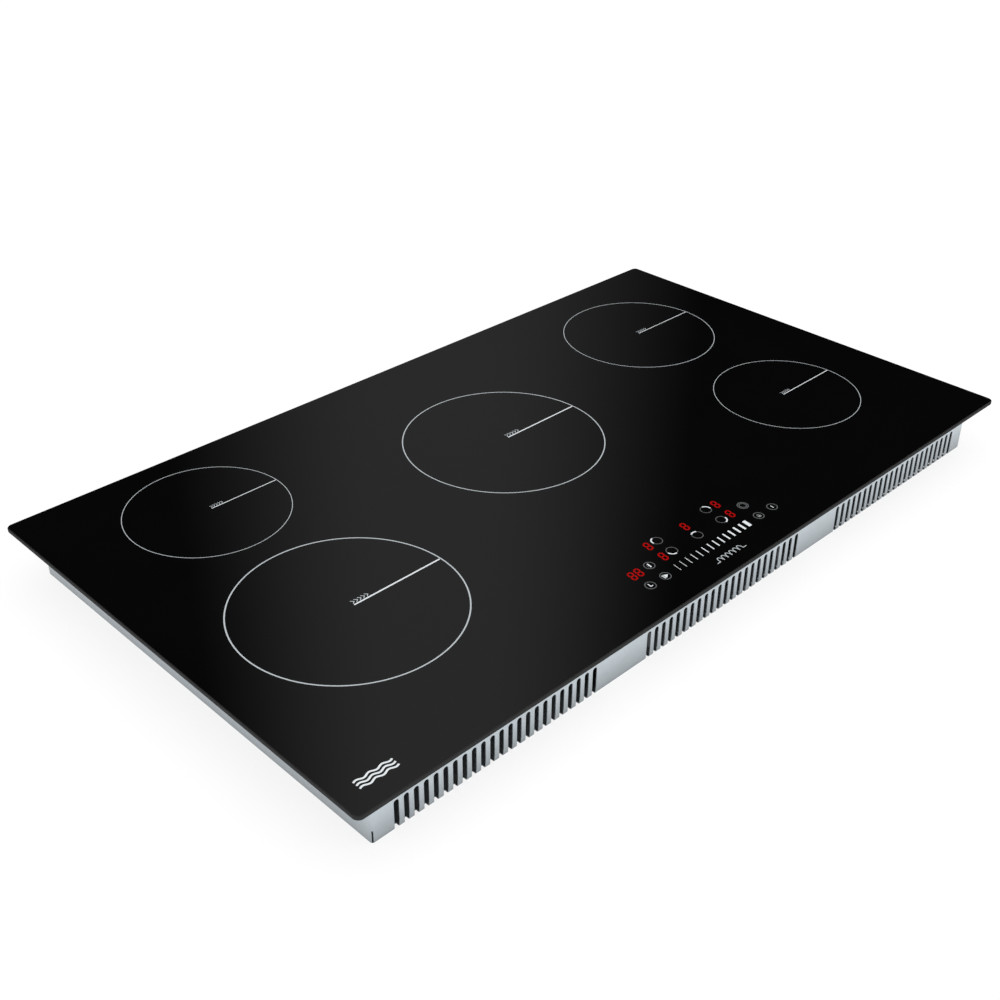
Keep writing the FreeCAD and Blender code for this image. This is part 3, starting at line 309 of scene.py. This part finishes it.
MATERIALS = {
    "black_glass": black_glass(),
    "galvanised_steel": galvanised_steel(),
    "seal_foam": moulded("seal_foam", (0.020, 0.020, 0.022), 0.85, 0.97, 700.0, 0.0003),
    "silicone": moulded("silicone", (0.030, 0.030, 0.032), 0.40, 0.55, 300.0, 0.0002),
    "mica": moulded("mica", (0.52, 0.45, 0.33), 0.45, 0.65, 250.0, 0.0002),
    "litz_copper": litz_winding(),
    "former_plastic": moulded("former_plastic", (0.030, 0.030, 0.033), 0.45, 0.6),
    "ferrite": moulded("ferrite", (0.060, 0.060, 0.064), 0.40, 0.55, 900.0),
    "bush_silicone": moulded("bush_silicone", (0.42, 0.075, 0.045), 0.45, 0.6, 500.0),
    "white_ceramic": moulded("white_ceramic", (0.78, 0.78, 0.76), 0.30, 0.42, 500.0),
    "aluminium_sheet": plain_metal("aluminium_sheet", (0.80, 0.81, 0.82), 0.30, 0.45, 120.0, ACROSS_SHEET),
    "aluminium_extrusion": plain_metal(
        "aluminium_extrusion", (0.76, 0.77, 0.78), 0.30, 0.48, 220.0, ALONG_FINS
    ),
    "zinc_plated_steel": plain_metal("zinc_plated_steel", (0.66, 0.67, 0.68), 0.22, 0.38, 800.0),
    "circuit_board": circuit_board(),
    "black_epoxy": moulded("black_epoxy", (0.018, 0.018, 0.020), 0.50, 0.65, 1500.0),
    "capacitor_case": moulded("capacitor_case", (0.62, 0.38, 0.045), 0.25, 0.38, 300.0),
    "choke_winding": plain_metal("choke_winding", (0.62, 0.27, 0.10), 0.22, 0.40, 900.0, ROUND_WIRE),
    "terminal_brass": plain_metal("terminal_brass", (0.76, 0.60, 0.28), 0.25, 0.40, 700.0),
    "terminal_plastic": moulded("terminal_plastic", (0.66, 0.65, 0.60), 0.40, 0.55),
    "black_plastic": moulded("black_plastic", (0.022, 0.022, 0.024), 0.42, 0.58, 1400.0),
    "spacer_nylon": moulded("spacer_nylon", (0.74, 0.72, 0.65), 0.40, 0.55),
    "holder_plastic": moulded("holder_plastic", (0.10, 0.10, 0.105), 0.45, 0.6),
    "red_digits": lit_digits(),
    "contact_foam": moulded("contact_foam", (0.050, 0.050, 0.052), 0.80, 0.95, 900.0, 0.0003),
    "ribbon_plastic": moulded("ribbon_plastic", (0.50, 0.51, 0.53), 0.35, 0.5, 600.0),
}
WHITE_INK = enamel("white_ink", (0.76, 0.80, 0.82))
RING_INK = enamel("ring_ink", (0.49, 0.53, 0.55))
GREY_INK = enamel("grey_ink", (0.23, 0.245, 0.25))
DIM_INK = enamel("dim_ink", (0.105, 0.11, 0.113))

for entry in frame["record"]["subparts"]:
    cad_object = frame["nodes"][entry["node"]]
    cad_object.data.materials.clear()
    cad_object.data.materials.append(MATERIALS[entry["material_slot"]])

# ------------------------------------------------------------------ printed decor on the glass

glass_low, glass_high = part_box("glass_top")
INK_SUNK = 0.010 * MM
INK_PROUD = 0.030 * MM
CIRCLE_STEPS = 48
ARC_STEPS = 12
STEPS_PER_RADIUS_MM = 4.0
# a mitred corner is never longer than the line's width divided by this
MITRE_LEAST = 0.3


class Print:
    """Flat shapes of ink on the glass, each a thin closed solid.

    Outline points are in millimetres about a centre.
    """

    def __init__(self, name, centre, material, slot="white_ceramic"):
        self.name = name
        self.centre = centre
        self.material = material
        self.slot = slot
        self.mesh = bmesh.new()

    def corner(self, point, height):
        place = (self.centre[0] + point[0] * MM, self.centre[1] + point[1] * MM, height)
        return self.mesh.verts.new(place)

    def plate(self, outline):
        """A solid with this outline, given anticlockwise."""
        low = [self.corner(point, glass_high.z - INK_SUNK) for point in outline]
        high = [self.corner(point, glass_high.z + INK_PROUD) for point in outline]
        self.mesh.faces.new(high)
        self.mesh.faces.new(low[::-1])
        count = len(outline)
        for i in range(count):
            j = (i + 1) % count
            self.mesh.faces.new((low[i], low[j], high[j], high[i]))

    def band(self, outer, inner, closed=False):
        """A solid between two rows of points, the outer row on the right as the rows are followed."""
        rows = []
        for height in (glass_high.z - INK_SUNK, glass_high.z + INK_PROUD):
            rows.append([self.corner(point, height) for point in outer])
            rows.append([self.corner(point, height) for point in inner])
        outer_low, inner_low, outer_high, inner_high = rows
        count = len(outer)
        for i in range(count if closed else count - 1):
            j = (i + 1) % count
            self.mesh.faces.new((outer_high[i], outer_high[j], inner_high[j], inner_high[i]))
            self.mesh.faces.new((outer_low[j], outer_low[i], inner_low[i], inner_low[j]))
            self.mesh.faces.new((outer_low[i], outer_low[j], outer_high[j], outer_high[i]))
            self.mesh.faces.new((inner_low[j], inner_low[i], inner_high[i], inner_high[j]))
        if not closed:
            self.mesh.faces.new((inner_low[0], outer_low[0], outer_high[0], inner_high[0]))
            self.mesh.faces.new((outer_low[-1], inner_low[-1], inner_high[-1], outer_high[-1]))

    def arc(self, x, y, radius, width, start=0.0, end=360.0):
        """A ring or part of one, by its middle radius."""
        closed = abs(end - start) >= 360.0
        whole = max(CIRCLE_STEPS, STEPS_PER_RADIUS_MM * radius)
        steps = max(ARC_STEPS, int(abs(end - start) / 360.0 * whole))
        count = steps if closed else steps + 1
        angles = [math.radians(start + (end - start) * i / steps) for i in range(count)]
        rows = []
        for r in (radius + width / 2, radius - width / 2):
            rows.append([(x + r * math.cos(a), y + r * math.sin(a)) for a in angles])
        self.band(rows[0], rows[1], closed)

    def stroke(self, points, width):
        """A line of constant width through points, with mitred corners."""
        left, right = [], []
        for i, point in enumerate(points):
            here = Vector(point)
            before = (here - Vector(points[i - 1])).normalized() if i else None
            after = (Vector(points[i + 1]) - here).normalized() if i + 1 < len(points) else None
            before = before or after
            after = after or before
            along = (before + after).normalized()
            side = Vector((-along.y, along.x)) * (width / 2 / max(MITRE_LEAST, along.dot(after)))
            left.append(tuple(here + side))
            right.append(tuple(here - side))
        self.band(right, left)

    def finish(self):
        data = bpy.data.meshes.new(self.name)
        self.mesh.normal_update()
        self.mesh.to_mesh(data)
        self.mesh.free()
        data.materials.append(self.material)
        piece = bpy.data.objects.new(self.name, data)
        bpy.context.scene.collection.objects.link(piece)
        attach(piece, "hob")
        return piece


# from the edge of the mica disc to the ring
RING_MARGIN_MM = 4.8
# where each line starts and its level, from the middle of the zone, then the ring's and the line's widths
ZONE_PRINTS_MM = {
    "rear_left": (4.4, -0.3, 0.64, 0.93),
    "front_left": (4.9, -2.0, 1.30, 1.69),
    "middle": (6.4, -0.1, 1.10, 1.51),
    "rear_right": (0.8, 0.2, 0.73, 0.92),
    "front_right": (-5.0, 0.4, 0.64, 0.98),
}
CHEVRON_COUNT = 5
CHEVRON_PITCH_MM = 3.9
CHEVRON_SIZE_MM = (2.6, 4.9)
CHEVRON_LINE_MM = 0.75
# the ring that has chevrons of this size; they shrink with the ring
FULL_RADIUS_MM = 106.0


def print_zone(zone):
    """A zone's ring, the line from its middle to the ring, and a row of chevrons on the line."""
    low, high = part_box(f"mica_disc_{zone}")
    centre = (low + high) / 2
    radius = (high.x - low.x) / 2 / MM + RING_MARGIN_MM
    start, level, ring_width, line_width = ZONE_PRINTS_MM[zone]
    ring = Print(f"zone_ring_{zone}", centre, RING_INK)
    ring.arc(0, 0, radius, ring_width)
    ring.finish()
    line = Print(f"zone_line_{zone}", centre, WHITE_INK)
    end = math.sqrt(radius ** 2 - level ** 2) - ring_width
    line.stroke([(start, level), (end, level)], line_width)
    line.finish()
    chevrons = Print(f"zone_chevrons_{zone}", centre, RING_INK)
    scale = radius / FULL_RADIUS_MM
    width, height = [scale * side for side in CHEVRON_SIZE_MM]
    base = level + line_width / 2 + CHEVRON_LINE_MM
    for i in range(CHEVRON_COUNT):
        x = start + CHEVRON_LINE_MM / 2 + i * CHEVRON_PITCH_MM * scale
        points = [(x, base), (x + width, base + height / 2), (x, base + height)]
        chevrons.stroke(points, CHEVRON_LINE_MM * scale)
    chevrons.finish()


for zone in ZONE_PRINTS_MM:
    print_zone(zone)

board_low, board_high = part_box("control_board")
# the middle of the panel's print, from the middle of the board below it
PRINT_SHIFT = Vector((0.4, -0.8, 0.0)) * MM
panel = (board_low + board_high) / 2 + PRINT_SHIFT

# how far figures and signs lean for each step up
SLANT = math.tan(math.radians(8))
DIGIT_WIDTH_MM = 6.4
DIGIT_HEIGHT_MM = 12.0
SEGMENT_MM = 1.45
SEGMENT_GAP_MM = 0.25
# places about the middle of the control board, in millimetres
DIGITS_MM = ((-45, 20.5), (5, 18), (56.5, 22), (-47.5, 0.5), (53.5, 2), (-91, -0.5), (-82.5, -0.5))
# each zone's key: its place, then where its bright arc starts and ends, in degrees
ZONE_KEYS_MM = (
    (-32, 21, 95, 190),
    (42.5, 22.5, -15, 80),
    (-34.5, 1, 180, 275),
    (2.5, 1, 50, 130),
    (39.5, 1.5, 270, 360),
)
HOLD_KEY_MM = (-67.5, 0)
WARM_KEY_MM = (74, 2.5)
TIMER_KEY_MM = (-90, -20.5)
PAUSE_KEY_MM = (-69.5, -20.5)
LOCK_KEY_MM = (70.5, -19)
POWER_KEY_MM = (92.5, -18.5)
ZONE_KEY_RADIUS_MM = 5.4
ZONE_KEY_LINE_MM = 0.75
ZONE_ARC_LINE_MM = 1.4
KEY_RADIUS_MM = 5.1
KEY_LINE_MM = 0.9
WARM_RINGS_MM = (5.3, 3.5)
WARM_LINE_MM = 1.0
# the signs in the keys: a bar's two numbers are half its width and half its height, and places are from
# the key's middle
HOLD_BAR_MM = (0.75, 2.9)
HOLD_SIDE_BAR_MM = (0.4, 2.0)
HOLD_SIDE_X_MM = -2.2
TIMER_HANDS_MM = ((-0.8, 2.9), (-0.8, -1.3), (2.1, -1.3))
TIMER_LINE_MM = 1.0
PAUSE_ARROW_MM = ((-0.9, -2.7), (3.4, 0.0), (-0.9, 2.7))
PAUSE_BAR_MM = (0.6, 2.5)
PAUSE_BAR_X_MM = -2.3
LOCK_BODY_MM = (2.0, 1.3)
LOCK_BODY_Y_MM = -1.1
LOCK_BOW_Y_MM = 0.5
LOCK_BOW_RADIUS_MM = 1.3
LOCK_BOW_LINE_MM = 0.7
POWER_BAR_MM = (0.45, 2.1)


def slanted(x, y, points):
    """Points about (x, y), leaning to the right."""
    return [(x + px + py * SLANT, y + py) for px, py in points]


def bar(half_width, half_height, x=0.0, y=0.0):
    """The corners of an upright bar about (x, y)."""
    corners = ((-1, -1), (1, -1), (1, 1), (-1, 1))
    return [(x + a * half_width, y + b * half_height) for a, b in corners]


def segment(digits, x, y, start, end):
    """One bar of a digit, with pointed ends."""
    a, b = Vector(start), Vector(end)
    along = (b - a).normalized()
    across = Vector((-along.y, along.x)) * SEGMENT_MM / 2
    tip = along * SEGMENT_MM / 2
    a += along * SEGMENT_GAP_MM
    b -= along * SEGMENT_GAP_MM
    outline = [a, a + tip - across, b - tip - across, b, b - tip + across, a + tip + across]
    digits.plate(slanted(x, y, [tuple(point) for point in outline]))


def print_digits():
    """The lit figures eight."""
    digits = Print("lit_digits", panel, MATERIALS["red_digits"], "red_digits")
    half_w = (DIGIT_WIDTH_MM - SEGMENT_MM) / 2
    half_h = (DIGIT_HEIGHT_MM - SEGMENT_MM) / 2
    for x, y in DIGITS_MM:
        for level in (-half_h, 0.0, half_h):
            segment(digits, x, y, (-half_w, level), (half_w, level))
        for side in (-half_w, half_w):
            segment(digits, x, y, (side, -half_h), (side, 0.0))
            segment(digits, x, y, (side, 0.0), (side, half_h))
    digits.finish()


def print_keys():
    """Key rings in dim grey, and the bright arcs and symbols."""
    dim = Print("key_rings", panel, DIM_INK)
    grey = Print("key_symbols_grey", panel, GREY_INK)
    white = Print("key_symbols_white", panel, WHITE_INK)
    for x, y, start, end in ZONE_KEYS_MM:
        dim.arc(x, y, ZONE_KEY_RADIUS_MM, ZONE_KEY_LINE_MM, end, start + 360)
        white.arc(x, y, ZONE_KEY_RADIUS_MM, ZONE_ARC_LINE_MM, start, end)
    for x, y in (HOLD_KEY_MM, TIMER_KEY_MM, PAUSE_KEY_MM, LOCK_KEY_MM, POWER_KEY_MM):
        dim.arc(x, y, KEY_RADIUS_MM, KEY_LINE_MM)
    x, y = WARM_KEY_MM
    for radius in WARM_RINGS_MM:
        dim.arc(x, y, radius, WARM_LINE_MM)
    x, y = HOLD_KEY_MM
    white.plate(slanted(x, y, bar(*HOLD_BAR_MM)))
    dim.plate(slanted(x, y, bar(*HOLD_SIDE_BAR_MM, HOLD_SIDE_X_MM)))
    x, y = TIMER_KEY_MM
    white.stroke(slanted(x, y, TIMER_HANDS_MM), TIMER_LINE_MM)
    x, y = PAUSE_KEY_MM
    white.plate([(x + px, y + py) for px, py in PAUSE_ARROW_MM])
    white.plate(bar(*PAUSE_BAR_MM, x + PAUSE_BAR_X_MM, y))
    x, y = LOCK_KEY_MM
    grey.plate(bar(*LOCK_BODY_MM, x, y + LOCK_BODY_Y_MM))
    grey.arc(x, y + LOCK_BOW_Y_MM, LOCK_BOW_RADIUS_MM, LOCK_BOW_LINE_MM, 0, 180)
    x, y = POWER_KEY_MM
    white.plate(slanted(x, y, bar(*POWER_BAR_MM)))
    dim.finish()
    grey.finish()
    white.finish()


SLIDER_BARS = 14
SLIDER_START_MM = -51.5
SLIDER_END_MM = 51.5
SLIDER_Y_MM = -19.5
SLIDER_HEIGHT_MM = 9.9
# the first bar, the last but one and the last
SLIDER_WIDTHS_MM = (0.5, 2.6, 4.1)
SLIDER_CURVE = 1.5


def print_slider():
    """Power bars that widen to the right, the last one widest."""
    bars = Print("power_slider", panel, WHITE_INK)
    first, widest, last = SLIDER_WIDTHS_MM
    for i in range(SLIDER_BARS):
        x = SLIDER_START_MM + i / (SLIDER_BARS - 1) * (SLIDER_END_MM - SLIDER_START_MM)
        swell = (i / (SLIDER_BARS - 2)) ** SLIDER_CURVE
        width = first + swell * (widest - first) if i + 1 < SLIDER_BARS else last
        bars.plate(slanted(x, SLIDER_Y_MM, bar(width / 2, SLIDER_HEIGHT_MM / 2)))
    bars.finish()


COIL_SIGN_Y_MM = -38.5
COIL_SIGN_LOOPS = 6
COIL_SIGN_LOOP_MM = (5.7, 5.6)
COIL_SIGN_LEAD_MM = 4.2
COIL_SIGN_LINE_MM = 0.8
# half a loop's width as a share of the pitch; a little under a half keeps the loops apart
COIL_SIGN_SWING = 0.46
COIL_SIGN_STEPS = 12


def print_coil_sign():
    """A drawn coil below the slider: a lead, a row of tall half loops, a lead."""
    sign = Print("coil_sign", panel, RING_INK)
    width, height = COIL_SIGN_LOOP_MM
    half = COIL_SIGN_LOOPS * width / 2
    base = COIL_SIGN_Y_MM - height / 2
    points = [(-half - COIL_SIGN_LEAD_MM, base)]
    for i in range(COIL_SIGN_LOOPS):
        middle = (i + 0.5) * width - half
        for j in range(COIL_SIGN_STEPS + 1):
            angle = math.pi * (1 - j / COIL_SIGN_STEPS)
            swing = COIL_SIGN_SWING * width * math.cos(angle)
            points.append((middle + swing, base + height * math.sin(angle)))
    points.append((half + COIL_SIGN_LEAD_MM, base))
    sign.stroke(points, COIL_SIGN_LINE_MM)
    sign.finish()


MARK_INSET_X_MM = 38.9
MARK_INSET_Y_MM = 25.8
MARK_LINES = 3
MARK_LENGTH_MM = 37.0
MARK_LINE_GAP_MM = 3.9
MARK_SWELL_MM = 0.95
MARK_WAVES = 3
MARK_LINE_MM = 1.7
STEPS_PER_WAVE = 24


def print_corner_mark():
    """Three level waves, one above the other, in the front left corner."""
    centre = (glass_low.x + MARK_INSET_X_MM * MM, glass_low.y + MARK_INSET_Y_MM * MM)
    mark = Print("corner_mark", centre, WHITE_INK)
    steps = STEPS_PER_WAVE * MARK_WAVES
    for line in range(MARK_LINES):
        level = (line - (MARK_LINES - 1) / 2) * MARK_LINE_GAP_MM
        points = []
        for i in range(steps + 1):
            share = i / steps
            swell = MARK_SWELL_MM * math.sin(2 * math.pi * MARK_WAVES * share)
            points.append(((share - 0.5) * MARK_LENGTH_MM, level + swell))
        mark.stroke(points, MARK_LINE_MM)
    mark.finish()


print_digits()
print_keys()
print_slider()
print_coil_sign()
print_corner_mark()

# ------------------------------------------------------------------ floor, light and camera


FLOOR_REACH = 40.0
FLOOR_DROP = 0.0005
FLOOR_GLOW = 0.80


def make_floor():
    """A pale light table under the tray, lit a little from below so that shadows stay faint."""
    data = bpy.data.meshes.new("floor")
    r = FLOOR_REACH
    data.from_pydata([(-r, -r, 0), (r, -r, 0), (r, r, 0), (-r, r, 0)], [], [(0, 1, 2, 3)])
    floor = bpy.data.objects.new("floor", data)
    floor.location.z = -FLOOR_DROP
    bpy.context.scene.collection.objects.link(floor)
    paint = Surface("floor_paint", roughness=0.9, Specular_IOR_Level=0.1, Emission_Strength=FLOOR_GLOW)
    paint.shader.inputs["Emission Color"].default_value = (1.0, 1.0, 1.0, 1.0)
    paint.colour(paint.ramp(paint.noise(3.0), (0.3, (0.20, 0.20, 0.20)), (0.7, (0.21, 0.21, 0.21))))
    data.materials.append(paint.material)


SUN_POWER = 3.7
SUN_SPREAD = 150
SUN_TILT = (22, -8)
# the dome that glossy surfaces mirror has a soft upright strip in each quarter, by compass angle in degrees
STRIP_RISES = (26.7, 38.9)
STRIP_FALLS = (43.3, 55.5)
# the light between the strips, as a share of theirs
STRIP_FLOOR = 0.06
# the strips' light at the middle height, how fast it grows above that, and its least share further down
STRIP_LEVEL = 0.27
STRIP_RISE = 2.95
STRIP_MIDDLE = 0.53
STRIP_LOWEST = 0.3
ZENITH_LEVEL = 0.10
ZENITH_HEIGHTS = (0.75, 0.98)


def make_sun():
    """A huge soft overhead light that leaves no hard reflection."""
    key = bpy.data.lights.new("overhead", "SUN")
    key.energy = SUN_POWER
    key.angle = math.radians(SUN_SPREAD)
    lamp = bpy.data.objects.new("overhead", key)
    lamp.rotation_euler = Euler((math.radians(SUN_TILT[0]), math.radians(SUN_TILT[1]), 0))
    lamp.visible_glossy = False
    bpy.context.scene.collection.objects.link(lamp)


class Dome:
    """Nodes of the world shader."""

    def __init__(self):
        world = bpy.data.worlds.new("studio")
        bpy.context.scene.world = world
        world.use_nodes = True
        self.tree = world.node_tree

    def node(self, kind, **properties):
        made = self.tree.nodes.new(kind)
        for name, value in properties.items():
            setattr(made, name, value)
        return made

    def plug(self, value, socket):
        if isinstance(value, bpy.types.NodeSocket):
            self.tree.links.new(value, socket)
        else:
            socket.default_value = value

    def math(self, operation, *values):
        made = self.node("ShaderNodeMath", operation=operation)
        for value, socket in zip(values, made.inputs):
            self.plug(value, socket)
        return made.outputs["Value"]

    def spread(self, value, low, high):
        """0 to 1, smoothly, as the value goes from low to high."""
        made = self.node("ShaderNodeMapRange", interpolation_type="SMOOTHSTEP")
        self.plug(value, made.inputs["Value"])
        self.plug(low, made.inputs["From Min"])
        self.plug(high, made.inputs["From Max"])
        return made.outputs["Result"]


def make_dome():
    """Dim surroundings with the soft strips; plain white where the camera sees it directly."""
    dome = Dome()
    axes = dome.node("ShaderNodeSeparateXYZ")
    dome.plug(dome.node("ShaderNodeTexCoord").outputs["Generated"], axes.inputs["Vector"])
    compass = dome.math("DEGREES", dome.math("ARCTAN2", axes.outputs["X"], axes.outputs["Y"]))
    quarter = dome.math("WRAP", compass, 90.0, 0.0)
    onto = dome.spread(quarter, *STRIP_RISES)
    past = dome.spread(quarter, *STRIP_FALLS)
    strip = dome.math("MAXIMUM", dome.math("SUBTRACT", onto, past), STRIP_FLOOR)
    height = axes.outputs["Z"]
    rise = dome.math("MULTIPLY_ADD", height, STRIP_RISE, 1.0 - STRIP_RISE * STRIP_MIDDLE)
    strips = dome.math("MULTIPLY", dome.math("MAXIMUM", rise, STRIP_LOWEST), strip)
    level = dome.math("MULTIPLY", strips, STRIP_LEVEL)
    top = dome.spread(height, *ZENITH_HEIGHTS)
    shade = dome.node("ShaderNodeMix")
    dome.plug(top, shade.inputs["Factor"])
    dome.plug(level, shade.inputs["A"])
    dome.plug(ZENITH_LEVEL, shade.inputs["B"])
    seen = dome.node("ShaderNodeMix")
    dome.plug(dome.node("ShaderNodeLightPath").outputs["Is Camera Ray"], seen.inputs["Factor"])
    dome.plug(shade.outputs["Result"], seen.inputs["A"])
    dome.plug(1.0, seen.inputs["B"])
    dome.plug(seen.outputs["Result"], dome.tree.nodes["Background"].inputs["Color"])


CAMERA_PLACE = Vector((-0.8529, -0.8131, 0.7520))
CAMERA_TURN = (57.69, -0.15, -44.35)
LENS_MM = 48.29
SENSOR_MM = 36.0


def make_camera():
    """The view from above the front left corner."""
    data = bpy.data.cameras.new("camera")
    data.sensor_width = SENSOR_MM
    data.lens = LENS_MM
    camera = bpy.data.objects.new("camera", data)
    camera.location = CAMERA_PLACE
    camera.rotation_euler = Euler([math.radians(angle) for angle in CAMERA_TURN])
    bpy.context.scene.collection.objects.link(camera)
    bpy.context.scene.camera = camera
    bpy.context.scene.view_settings.view_transform = "Standard"


make_floor()
make_sun()
make_dome()
make_camera()

bpy.context.view_layer.update()
